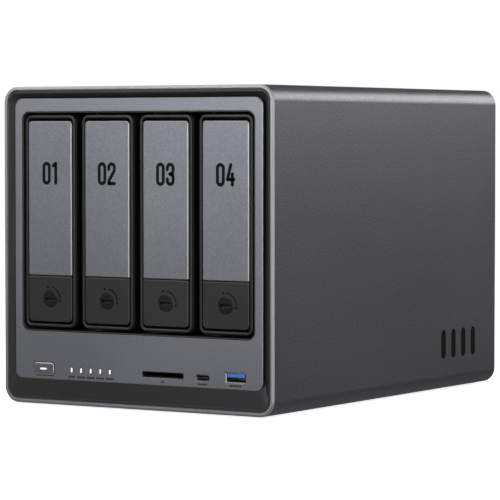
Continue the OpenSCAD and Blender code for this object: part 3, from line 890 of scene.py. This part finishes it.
for n in trays:
    sides, near, far = span(f"tray_{n}_button")
    x, _ = middle(sides)
    bore = pill(x, lock_z, bore_radius * 2, bore_radius * 2)
    block = lofted(
        f"release_{n}",
        [ring(sides, button_radius, far, 0.3), ring(sides, button_radius, far - 0.3)]
        + outer_edge(sides, button_radius, near, button_cut, steps=1)
        + hole_edge(bore, bore_radius, near, 0.12, steps=1) + [ring(bore, bore_radius, far)],
        closed=True, inks={2: 1})
    fit(block, f"latch_{n}", "button_plastic", [button_black, button_rim_painted_highlight], f"tray_{n}_button")
    work = bmesh.new()
    add_stroke(work, arc(x, lock_z, mark_radius, mark_radius, 80, 4, 14), mark_stroke, near)
    for angle in (103, -8):
        spot_x, spot_z = arc(x, lock_z, mark_radius, mark_radius, angle, angle, 1)[0]
        spot = pill(spot_x, spot_z, spot_radius * 2, spot_radius * 2)
        add_loft(work, [ring(spot, spot_radius, near + ink_root, steps=4),
                        ring(spot, spot_radius, near - ink_height * 1.5, steps=4)])
    fit(piece_from(work, f"key_marks_{n}"), f"latch_{n}", "black_plastic", [mark_ink])


# ---- Locks ----
# A plastic barrel with a slot for a flat key turns in each button by a quarter turn. A cam
# on its rear end blocks the lever's hook.

lock_radius = 4.7
lock_length = 8.3
cam_half = 2.0
slot_width = 7.2
slot_height = 1.5
slot_depth = 1.6
lock_black = plastic("lock_plastic", 0.01, 1.0, 0.3, 0.1)

for n in trays:
    sides, near, far = span(f"tray_{n}_lock")
    x, _ = middle(sides)
    face = pill(x, lock_z, lock_radius * 2, lock_radius * 2)
    slot = pill(x, lock_z, slot_width, slot_height)
    work = bmesh.new()
    add_loft(work, [ring(face, lock_radius, near + lock_length)]
             + outer_edge(face, lock_radius, near, 0.3)
             + hole_edge(slot, 0.6, near, 0.05, steps=1)
             + [ring(slot, 0.6, near + slot_depth)])
    add_block(work, (x - cam_half, near + lock_length - 0.1, sides[2]),
              (x + cam_half, far, sides[3]), 0.2)
    fit(piece_from(work, f"lock_{n}"), f"lock_{n}", "lock_plastic", [lock_black],
        f"tray_{n}_lock")


# ---- Drive cage ----
# Folded sheets of zinc-plated steel hold the bays apart: a floor, a roof, two sides and
# three dividers, with moulded guides for the trays' tongues.

sheet_ease = 0.15


def refine(node, name, ease, slot, material, body="housing"):
    """Puts a copy with rounded edges in a CAD node's place."""
    work = bmesh.new()
    work.from_mesh(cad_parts[node].data)
    bmesh.ops.scale(work, vec=(1 / MM, 1 / MM, 1 / MM), verts=work.verts)
    bmesh.ops.remove_doubles(work, verts=work.verts, dist=0.002)
    bmesh.ops.dissolve_limit(work, angle_limit=math.radians(1), verts=work.verts,
                             edges=work.edges)
    edges = [edge for edge in work.edges
             if edge.is_manifold and edge.calc_face_angle() > CREASE]
    bmesh.ops.bevel(work, geom=edges, offset=ease, segments=2, profile=0.5,
                    affect="EDGES", clamp_overlap=True)
    fit(piece_from(work, name), body, slot, [material], node)


def zinc(name, level, rough):
    """Zinc plating over steel sheet, with its flat crystals showing."""

    def varied(start):
        values = {"Vector": start.place(), "Scale": 160}
        crystals = start.node("ShaderNodeTexVoronoi", values=values, out=1)
        patch = start.node("ShaderNodeSeparateColor", values={0: crystals})
        marks = start.noise(900, 3, (1, 0.15, 1))
        tone = patch * 0.6 + marks * 0.4
        return {
            "Base Color": tone.blend(tint(level * 0.8, 1.03), tint(level * 1.15, 1.02)),
            "Roughness": patch * 0.12 + marks * 0.1 + rough,
            "Normal": start.bump(marks, 0.1, 0.02),
        }

    return finish(name, {"Metallic": 1.0}, varied)


zinc_plating = zinc("zinc_plating", 0.4, 0.42)
for node in ("cage_floor", "cage_roof", "cage_sides", "bay_dividers"):
    refine(node, f"{node}_sheet", sheet_ease, "zinc_sheet", zinc_plating)
guide_black = plastic("guide_plastic", 0.016, 1.0, 0.45, 0.1)
refine("bay_guides", "tray_guides", 0.3, "connector_plastic", guide_black)


# ---- Circuit boards ----
# Green glass-fibre boards: the backplane behind the bays, the mainboard on the floor and the
# small front board. Brass pillars hold them, and their connectors are moulded in black.

board_ease = 0.1
part_ease = 0.15


def board_green(name):
    """Solder mask over copper tracks that run in steps, with bare pads."""

    def varied(start):
        values = {"Vector": start.place(), "Scale": 260, "Randomness": 0.7}
        settings = {"distance": "MANHATTAN", "feature": "F1"}
        tracks = start.node("ShaderNodeTexVoronoi", settings, values)
        stops = [(0.0, 0.0), (0.42, 0.0), (0.5, 1.0), (1.0, 1.0)]
        copper = start.node("ShaderNodeValToRGB", {"stops": stops}, {0: tracks})
        return {
            "Base Color": copper.blend((0.008, 0.07, 0.03, 1), (0.015, 0.13, 0.06, 1)),
            "Roughness": start.noise(400) * 0.15 + 0.25,
            "Normal": start.bump(copper, 0.2, 0.03),
        }

    return finish(name, {"Coat Weight": 0.3}, varied)


solder_mask = board_green("solder_mask")
brass = plated("brass", 0.6, 0.45, 0.3)
for node, name in (("backplane_board", "backplane"), ("mainboard", "main_board"),
                   ("front_port_board", "front_board"), ("memory_module", "memory_card")):
    refine(node, name, board_ease, "circuit_board", solder_mask)
for node, name in (("drive_connectors", "drive_sockets"), ("ssd_sockets", "card_sockets"),
                   ("power_switch", "button_switch")):
    refine(node, name, part_ease, "connector_plastic", socket_black)
refine("board_standoffs", "board_pillars", part_ease, "brass_parts", brass)


# ---- Heatsink and power supply ----
# The processor's heatsink is extruded aluminium with upright fins. The power supply is a
# steel box with slots for its air, and its mains inlet is moulded in the rear panel.


def drawn(name, level, rough, stretch):
    """Metal with fine lines left by the die or the brush, along its stretched axis."""

    def varied(start):
        lines = start.noise(1100, 3, stretch)
        cloud = start.noise(30, 2)
        return {
            "Base Color": lines.blend(tint(level * 0.85, 1.01), tint(level * 1.12, 1.02)),
            "Roughness": (cloud - 0.5) * 0.1 + (lines - 0.5) * 0.12 + rough,
            "Normal": start.bump(lines, 0.2, 0.03),
        }

    return finish(name, {"Metallic": 1.0}, varied)


fin_metal = drawn("fin_metal", 0.62, 0.34, (1, 0.05, 0.6))
refine("processor_heatsink", "heatsink", 0.2, "heatsink_aluminium", fin_metal)
refine("power_supply", "power_box", 0.4, "zinc_sheet", zinc_plating)
refine("power_inlet", "mains_inlet", 0.25, "connector_plastic", socket_black)


# ---- Rear panel ----
# A steel panel closes the sleeve's rear, powder-coated black with a fine orange-peel skin.
# Six pan-head screws hold it, and the ports of the mainboard show through it.


def powder(name, level, rough):
    """Black powder coat: an even satin with a shallow orange peel."""

    def varied(start):
        peel = start.noise(650, 2)
        fleck = start.noise(3000, 2)
        tone = (fleck - 0.5) * 0.9 + 0.5
        return {
            "Base Color": tone.blend(tint(level * 0.75, 1.02), tint(level * 1.25, 1.02)),
            "Roughness": (peel - 0.5) * 0.2 + rough,
            "Normal": start.bump(peel, 0.35, 0.08),
        }

    return finish(name, {}, varied)


rear_black = powder("rear_powder_coat", 0.02, 0.45)
screw_metal = plated("screw_metal", 0.45, 1.0, 0.28)
refine("rear_panel", "rear_plate", 0.2, "rear_plate", rear_black)


def add_screw(work, x, z, face, head, proud):
    """A pan-head screw's domed head, facing the rear, with a round dimple for the driver."""
    sides = pill(x, z, head * 2, head * 2)
    crown = face + proud
    dimple = head * 0.55
    profile = [(face - 0.5, 0.2)]
    for angle in quarter_turn(4):
        profile.append((face + proud * math.sin(angle), head * 0.45 * (1 - math.cos(angle))))
    profile += [(crown, head - dimple), (crown - 0.5, head - dimple * 0.6)]
    add_loft(work, [ring(sides, head, depth, inset, 6) for depth, inset in profile])


screw_head = 2.8
screw_proud = 1.4
screw_shank = 1.5
screw_middle = 100.0
rear_plate_y = rear - 2.0
rear_screw_sides, rear_screw_near, _ = span("rear_panel_screws")
work = bmesh.new()
for x in (rear_screw_sides[0] + screw_head, rear_screw_sides[1] - screw_head):
    for z in (rear_screw_sides[2] + screw_head, screw_middle, rear_screw_sides[3] - screw_head):
        add_screw(work, x, z, rear_plate_y, screw_head, screw_proud)
        add_rod(work, (x, rear_screw_near, z), (x, rear_plate_y - 0.2, z), screw_shank, 0.3)
fit(piece_from(work, "rear_screws"), "housing", "screw_steel", [screw_metal], "rear_panel_screws")


# ---- Rear ports ----
# Two network sockets, a display socket and a pair of full-size sockets, all in nickel-plated
# shells soldered to the mainboard, and a recessed reset button.

for node, name in (("lan_ports", "network_sockets"), ("hdmi_port", "display_socket"),
                   ("rear_usb_ports", "rear_sockets")):
    refine(node, name, part_ease, "port_shell", shell_steel)
refine("reset_button", "reset_pin", 0.2, "button_plastic", socket_black, "reset_button")


# ---- Fan ----
# A 140 mm fan draws air through the bays. Its frame and rotor are moulded in black, and the
# seven blades are curved, twisted and swept.

blade_count = 7
hub_radius = 21.0
blade_tip = 64.6
blade_thick = 1.5
blade_bulge = 2.6
root_chord = 17.0
tip_chord = 29.0
root_pitch = 46.0
tip_pitch = 28.0
rotor_shaft = 1.5
fan_black = plastic("fan_plastic", 0.02, 1.0, 0.4, 0.15)
rotor_black = plastic("rotor_plastic", 0.03, 1.0, 0.36, 0.1)
refine("fan_frame", "fan_housing", 0.4, "connector_plastic", fan_black)
refine("fan_screws", "fan_bolts", 0.12, "screw_steel", screw_metal)

fan_sides, fan_near, fan_far = span("fan_frame")
_, rotor_near, rotor_far = span("fan_rotor")
_, fan_z = middle(fan_sides)
blade_y = fan_near + 11.5
hub_back = fan_far - 5.0


def blade_ring(turn, share):
    """A blade's section at a share of the way out from the hub."""
    radius = hub_radius - 1.5 + (blade_tip - hub_radius + 1.5) * share
    chord = root_chord + (tip_chord - root_chord) * share
    pitch = math.radians(root_pitch + (tip_pitch - root_pitch) * share)
    sweep = turn + 0.12 * share + 0.22 * share * share
    upper, lower = [], []
    for step in range(9):
        t = step / 8 - 0.5
        bulge = blade_bulge * (1 - 4 * t * t)
        half = blade_thick / 2 * (1 - 0.5 * share) * math.sqrt(max(1.02 - 4 * t * t, 0.02))
        for row, side in ((upper, 1), (lower, -1)):
            along = t * chord * math.cos(pitch) - (bulge + side * half) * math.sin(pitch)
            depth = t * chord * math.sin(pitch) + (bulge + side * half) * math.cos(pitch)
            angle = sweep + along / radius
            row.append((radius * math.cos(angle), blade_y + depth,
                        fan_z + radius * math.sin(angle)))
    return upper + lower[::-1]


work = bmesh.new()
hub = pill(0, fan_z, hub_radius * 2, hub_radius * 2)
add_loft(work, [ring(hub, hub_radius, hub_back)]
         + outer_edge(hub, hub_radius, rotor_near, 2.5, steps=5))
add_rod(work, (0, hub_back - 0.5, fan_z), (0, rotor_far, fan_z), rotor_shaft, 0.2)
for i in range(blade_count):
    turn = math.tau * i / blade_count
    add_loft(work, [blade_ring(turn, share / 8) for share in range(9)])
fit(piece_from(work, "rotor"), "fan", "rotor_plastic", [rotor_black], "fan_rotor")


# ---- Rear cover ----
# A frame with a punched steel mesh covers the fan. Magnets hold it, so it pulls straight off.
# The holes stand in staggered rows.

hole_pitch = 4.0
hole_row = 3.5
hole_radius = 1.5
mesh_margin = 1.2
mesh_corner = 4.0
mesh_sides, mesh_near, mesh_far = span("rear_cover_mesh")
mesh_black = powder("mesh_powder_coat", 0.03, 0.4)
refine("rear_cover_frame", "cover_frame", 0.4, "rear_plate", rear_black, "rear_cover")


def add_tile(work, sides, near, far):
    """A rectangular tile of the mesh, with one six-sided hole through it."""
    left, right, low, high = sides
    x, z = middle(sides)
    rows = []
    for y in (near, far):
        outer = [(right, y, z), (right, y, high), (left, y, high), (left, y, z),
                 (left, y, low), (right, y, low)]
        inner = [(x + hole_radius * math.cos(a), y, z + hole_radius * math.sin(a))
                 for a in [math.radians(60 * i) for i in range(6)]]
        rows += [outer, inner] if y == near else [inner, outer]
    add_loft(work, rows, closed=True)


work = bmesh.new()
field = grown(mesh_sides, -mesh_margin)
columns = round((field[1] - field[0]) / hole_pitch)
lines = round((field[3] - field[2]) / hole_row)
pitch_x = (field[1] - field[0]) / columns
pitch_z = (field[3] - field[2]) / lines
for line in range(lines):
    shift = pitch_x / 2 * (line % 2)
    low = field[2] + line * pitch_z
    for column in range(columns - line % 2):
        start_x = field[0] + shift + column * pitch_x
        add_tile(work, (start_x, start_x + pitch_x, low, low + pitch_z), mesh_near, mesh_far)
    if shift:
        for start_x in (field[0], field[1] - shift):
            add_block(work, (start_x, mesh_near, low), (start_x + shift, mesh_far, low + pitch_z),
                      0.01)
bmesh.ops.remove_doubles(work, verts=work.verts, dist=0.001)
add_loft(work, [ring(mesh_sides, mesh_corner, mesh_near), ring(field, 0.02, mesh_near),
                ring(field, 0.02, mesh_far), ring(mesh_sides, mesh_corner, mesh_far)],
         closed=True)
fit(piece_from(work, "cover_mesh"), "rear_cover", "cover_mesh", [mesh_black], "rear_cover_mesh")


# ---- Underside ----
# Four round rubber feet are stuck under the corners. A screwed steel hatch with air slots
# covers the memory.


def rubber(name):
    """Soft black rubber with a dusty bloom."""

    def varied(start):
        bloom = start.noise(60, 4)
        return {
            "Base Color": bloom.blend(tint(0.012), tint(0.03)),
            "Roughness": bloom * 0.2 + 0.65,
            "Normal": start.bump(start.noise(1200, 2), 0.2, 0.05),
        }

    return finish(name, {"Specular IOR Level": 0.35}, varied)


foot_radius = 9.0
foot_hollow = 0.3
foot_rubber = rubber("foot_rubber")
feet_sides, feet_near, feet_far = span("rubber_feet")
work = bmesh.new()
for x in (feet_sides[0] + foot_radius, feet_sides[1] - foot_radius):
    for y in (feet_near + foot_radius, feet_far - foot_radius):
        disc = (x - foot_radius, x + foot_radius, y - foot_radius, y + foot_radius)
        rings = [laid_flat(ring(disc, foot_radius, 0, inset), z)
                 for z, inset in ((ground, 0), (0.35, 0), (0.1, 0.12), (0, 0.35), (0, 6),
                                  (foot_hollow, 6 + foot_hollow))]
        add_loft(work, rings)
fit(piece_from(work, "feet"), "housing", "foot_rubber", [foot_rubber], "rubber_feet")
refine("bottom_cover", "hatch", 0.2, "rear_plate", rear_black)
refine("bottom_cover_screws", "hatch_screws", part_ease, "screw_steel", screw_metal)


# ---- Studio ----
# A white floor runs to a white background. One large soft box hangs overhead to the left, and
# cards stand in front on the left, beside the lens, and on the right and left. A strip high
# behind on the right draws the line along the sleeve's top edge.

floor_size = 40000.0
floor_paint = finish("floor_paint", {"Emission Strength": 0.85}, lambda start: {
    "Base Color": start.noise(3).blend(tint(0.86), tint(0.9)),
    "Emission Color": start.noise(3).blend(tint(0.97), tint(1.0)),
    "Roughness": start.noise(40) * 0.1 + 0.8})
work = bmesh.new()
bmesh.ops.create_grid(work, x_segments=4, y_segments=4, size=floor_size)
floor = piece_from(work, "floor")
floor.data.materials.append(floor_paint)
floor.visible_glossy = False
floor.visible_diffuse = False

world = bpy.data.worlds.new("studio")
bpy.context.scene.world = world
world.use_nodes = True
start = Wire(world.node_tree)
backdrop = world.node_tree.nodes["Background"]
height = start.node("ShaderNodeSeparateXYZ", values={0: start.node("ShaderNodeTexCoord")}, out=2)
stops = [(0.0, 0.3), (0.42, 0.08), (0.5, 0.06), (0.62, 0.12), (1.0, 0.22)]
room = start.node("ShaderNodeValToRGB", {"stops": stops}, {0: height * 0.5 + 0.5})
seen = start.node("ShaderNodeLightPath").blend(room, (1, 1, 1, 1))
world.node_tree.links.new(seen.socket, backdrop.inputs["Color"])


def soft_box(name, place, target, width, height, power):
    light = bpy.data.lights.new(name, "AREA")
    light.shape = "RECTANGLE"
    light.size = width
    light.size_y = height
    light.energy = power
    lamp = bpy.data.objects.new(name, light)
    lamp.location = place
    aim = Vector(target) - Vector(place)
    lamp.rotation_euler = aim.to_track_quat("-Z", "Y").to_euler()
    bpy.context.scene.collection.objects.link(lamp)


soft_box("overhead_box", (-0.5, -0.2, 1.0), (0, 0, 0.15), 0.9, 0.9, 3.6)
soft_box("front_card", (-0.3, -1.0, 0.48), (0, -0.12, 0.12), 0.5, 0.35, 5.2)
soft_box("lens_card", (0.65, -1.68, 0.1), (0, -0.12, 0.1), 0.35, 0.5, 3)
soft_box("right_card", (1.0, -0.65, 0.4), (0, -0.12, 0.1), 0.5, 0.6, 4)
soft_box("left_card", (-1.0, -0.2, 0.25), (0, -0.12, 0.1), 0.5, 0.4, 0.45)
soft_box("rear_strip", (0.6, 1.0, 0.55), (0.09, 0.0, 0.15), 0.9, 0.5, 4.7)
soft_box("rear_card", (0.9, 1.3, 0.1), (0.09, 0.0, 0.1), 0.9, 0.5, 0.15)

camera_data = bpy.data.cameras.new("camera")
camera_data.lens = 199.0
camera_data.sensor_width = 36.0
camera = bpy.data.objects.new("camera", camera_data)
camera.location = (0.8529, -1.3731, 0.1511)
camera.rotation_euler = (math.radians(90 - 2.382), 0, math.radians(32.038))
bpy.context.scene.collection.objects.link(camera)
bpy.context.scene.camera = camera
bpy.context.scene.view_settings.view_transform = "Standard"
